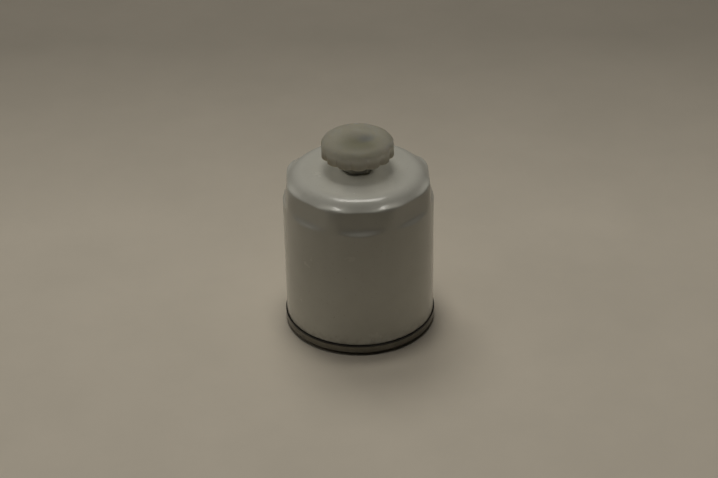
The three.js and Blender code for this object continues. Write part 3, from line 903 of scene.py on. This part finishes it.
def lock_nut():
    bottom, top = low("drain_lock_nut"), high("drain_lock_nut")
    across, chamfer, turn = 17.0, 8.2, math.radians(12)

    def shape(radius, angle, height, tag):
        six = hexagon(angle, across, HEX_TURN + turn)
        fall = np.maximum(six - chamfer, 0) * 0.5
        edge = (tag == UPPER_EDGE) | (tag == LOWER_EDGE)
        radius = np.where(edge, six, radius)
        height = np.where(tag == UPPER_EDGE, height - fall, height)
        return radius, np.where(tag == LOWER_EDGE, height + fall, height)

    outline = [
        (6.2, bottom + 0.5),
        (6.7, bottom),
        (chamfer, bottom),
        (across / 2, bottom, LOWER_EDGE),
        (across / 2, top, UPPER_EDGE),
        (chamfer, top),
        (6.7, top),
        (6.2, top - 0.5),
    ]
    mesh = lathe(outline, 96, shape, FRONT + HEX_TURN + turn)
    make("clamping_nut", *mesh, nut_steel, SHELL, "drain_lock_nut", "bare_steel")


def washer(name, node, inner, outer, material, slot):
    bottom, top = low(node), high(node)
    section = [(inner, bottom), (outer, bottom), (outer, top), (inner, top)]
    make(name, *lathe(rounded(section, 0.25), 96), material, SHELL, node, slot)


def o_ring(name, node, middle, cord):
    height = (low(node) + high(node)) / 2
    angles = [i * math.pi / 10 for i in range(20)]
    section = [
        (middle + cord / 2 * math.cos(t), height + cord / 2 * math.sin(t)) for t in angles
    ]
    make(name, *lathe(section, 72), nitrile, RINGS, node, "black_rubber", 60)


drain_body_mesh = lathe(drain_body_outline(), 192, shape_drain_body, FRONT + HEX_TURN)
make("hex_drain_body", *drain_body_mesh, turned_steel, SHELL, "drain_body", "dark_steel", 26)
washer("outer_washer", "drain_outer_washer", 6.1, 7.3, nylon, "nylon")
washer("inner_washer", "drain_inner_washer", 6.1, 9.6, cap_steel, "bare_steel")
lock_nut()
o_ring("stem_seal_ring", "stem_o_ring", 3.75, 0.95)
o_ring("seat_seal_ring", "seat_o_ring", 3.27, 0.92)


# ---------------------------------------------------------------- drain knob
THREADED = 9


def scallop(radius, angle, height, tag):
    """Draws the skirt in between its lobes by tag millimetres, and threads the stem."""
    swing = np.sqrt(np.cos(KNOB_LOBES * (angle - FRONT - KNOB_TURN) / 2) ** 2 + 0.006)
    drawn = np.where(tag == THREADED, 0, tag) * np.clip(1.02 - swing, 0, 1) ** 1.4
    wave = thread_wave(angle, height, STEM_PITCH) * run_in(height, *STEM_THREAD)
    groove = (STEM_MAJOR - STEM_MINOR) * (1 - wave)
    return np.where(tag == THREADED, radius - groove, radius - drawn), height


def knob_outline():
    """The knob and its stem in section, from the dish in the top round to the stem's tip."""
    depth = 1.5
    rim, edge_high = 9.6, 4.6
    edge_wide = KNOB_RADIUS - rim
    dish = [(0, KNOB_TOP - 1.2), (3.0, KNOB_TOP - 1.17), (5.0, KNOB_TOP - 1.05)]
    dish += [(6.4, KNOB_TOP - 0.75), (7.5, KNOB_TOP - 0.35), (8.5, KNOB_TOP - 0.1)]
    crown = []
    for i in range(15):
        a = math.radians(90 - 90 * i / 14)
        out, up = edge_wide * math.cos(a), edge_high * math.sin(a)
        crown.append((rim + out, KNOB_TOP - edge_high + up, 0.5 * depth * (i / 14) ** 4))
    skirt = [(KNOB_RADIUS, KNOB_FOOT + 0.35, depth), (KNOB_RADIUS - 0.3, KNOB_FOOT, depth)]
    inside = [(15.6, KNOB_FOOT, 0.3), (15.2, KNOB_FOOT + 0.3, 0.2)]
    inside += [(15.2, KNOB_TOP - 5.6), (13.4, KNOB_TOP - 3.3)]
    hub = [(7.8, KNOB_TOP - 2.6), (7.0, KNOB_TOP - 3.4)]
    hub += [(7.0, 96.9), (6.7, 96.6), (4.6, 96.6), (4.0, 96.2)]
    ring = [(4.0, 91.6), (3.1, 91.6), (3.1, 90.0), (4.0, 90.0)]
    first, last = STEM_THREAD
    stem = [(STEM_MAJOR, last - (last - first) * i / 40, THREADED) for i in range(41)]
    nose = [(3.4, 82.9), (3.1, 82.8), (2.8, 82.8), (2.8, 81.65)]
    nose += [(3.1, 81.65), (3.1, 81.45), (2.9, 81.3), (0, 81.3)]
    return dish + crown + skirt + inside + hub + ring + stem + nose


def drain_knob():
    mesh = lathe(split(knob_outline(), 0.7), 336, scallop)
    knob = make("scalloped_drain_knob", *mesh, nylon, KNOB, "drain_knob", "nylon", 40)
    inlet, outlet = 86.0, 94.0
    ports = [laid_down(peg(1.0, -5, 5, sides=24), 0.0, height) for height in (inlet, outlet)]
    carve(knob, [*ports, peg(1.3, inlet, outlet, sides=32)])
    return knob


drain_knob_piece = drain_knob()


# ---------------------------------------------------------------- table, light and camera
def table_material():
    s = Shader("table")
    base = s.ramp(s.noise(60, 5, 0.6), (0.35, (0.82, 0.75, 0.63)), (0.65, (0.86, 0.785, 0.66)))
    # Painted light: the table's colour is darkened towards the back, where less light falls, and
    # again far in front of the filter.
    back = s.math("MULTIPLY_ADD", s.axis("Y"), 1.4, 0.33)
    painted_light_falloff = s.ramp(back, (0.0, 0.08), (0.1, 1.0), (0.45, 0.92), (0.8, 0.54))
    base = s.mix(1.0, base, painted_light_falloff, "MULTIPLY")
    s.set(Base_Color=base, Roughness=0.62, Specular_IOR_Level=0.25)
    s.bumps((s.noise(1.5, 3), 0.02))
    return s.material


def table():
    size, cells = 4.0, 8
    edges = [(i / cells - 0.5) * size for i in range(cells + 1)]
    vertices = [(x, y, 0.0) for y in edges for x in edges]
    row = cells + 1
    faces = [
        (j * row + i, j * row + i + 1, (j + 1) * row + i + 1, (j + 1) * row + i)
        for j in range(cells)
        for i in range(cells)
    ]
    mesh = bpy.data.meshes.new("table_top")
    mesh.from_pydata(vertices, [], faces)
    mesh.materials.append(table_material())
    top = bpy.data.objects.new("table_top", mesh)
    bpy.context.scene.collection.objects.link(top)


def area_light(name, place, target, width, depth, watts, lights="matt", let_by=None):
    """A warm rectangular lamp. It lights matt surfaces or, with lights="gloss", is only reflected.
    let_by is a piece that casts no shadow in its light."""
    data = bpy.data.lights.new(name, "AREA")
    data.shape, data.size, data.size_y = "RECTANGLE", width, depth
    data.energy, data.color = watts, (1.0, 0.965, 0.90)
    lamp = bpy.data.objects.new(name, data)
    lamp.location = place
    lamp.visible_glossy = lights == "gloss"
    lamp.visible_diffuse = lamp.visible_transmission = lights == "matt"
    lamp.rotation_euler = (Vector(target) - Vector(place)).to_track_quat("-Z", "Y").to_euler()
    bpy.context.scene.collection.objects.link(lamp)
    if let_by:
        blockers = bpy.data.collections.new(name)
        blockers.objects.link(let_by)
        blockers.collection_objects[0].light_linking.link_state = "EXCLUDE"
        lamp.light_linking.blocker_collection = blockers


THROUGH_NYLON = 0.3  # share of the overhead light that the knob's milky nylon lets through


def overhead_light(name, *lamp, watts):
    """A lamp of which a share shines on through the knob."""
    area_light(name, *lamp, watts * (1 - THROUGH_NYLON))
    area_light(name + "_through_nylon", *lamp, watts * THROUGH_NYLON, let_by=drain_knob_piece)


def camera():
    """Level with the photograph's view: looking along +Y and down, with a long lens."""
    distance, elevation, roll = 0.9015, math.radians(31.6), math.radians(-1.0)
    target = Vector((0, 0, 0.0455))
    back = Vector((0, -math.cos(elevation), math.sin(elevation)))
    data = bpy.data.cameras.new("camera")
    data.sensor_width, data.lens = 36.0, 88.6
    eye = bpy.data.objects.new("camera", data)
    eye.rotation_mode = "QUATERNION"
    eye.location = target + back * distance
    look = (-back).to_track_quat("-Z", "Y")
    look.rotate(Quaternion(back, roll))
    eye.rotation_quaternion = look
    bpy.context.scene.collection.objects.link(eye)
    bpy.context.scene.camera = eye


def world():
    made = bpy.data.worlds.new("room")
    made.use_nodes = True
    made.node_tree.nodes["Background"].inputs["Color"].default_value = (1.0, 0.96, 0.88, 1)
    made.node_tree.nodes["Background"].inputs["Strength"].default_value = 0.015
    bpy.context.scene.world = made


table()
camera()
world()
overhead_light("ceiling", (-0.02, 0.1, 1.25), (0, 0, 0.08), 0.36, 0.12, watts=1.6)
overhead_light("ceiling_front", (0.0, -0.085, 1.25), (0, 0, 0.08), 0.36, 0.1, watts=1.3)
overhead_light("back_fill", (-0.16, 0.55, 1.2), (0, 0, 0.05), 0.6, 0.5, watts=3.4)
area_light("left_fill", (-0.95, -0.1, 0.8), (0, 0, 0.05), 0.5, 0.5, 0.45)
area_light("tube", (0.01, 0.22, 1.25), (0, 0, 0.08), 0.68, 0.36, 3.7, "gloss")
bpy.context.scene.view_settings.view_transform = "Standard"
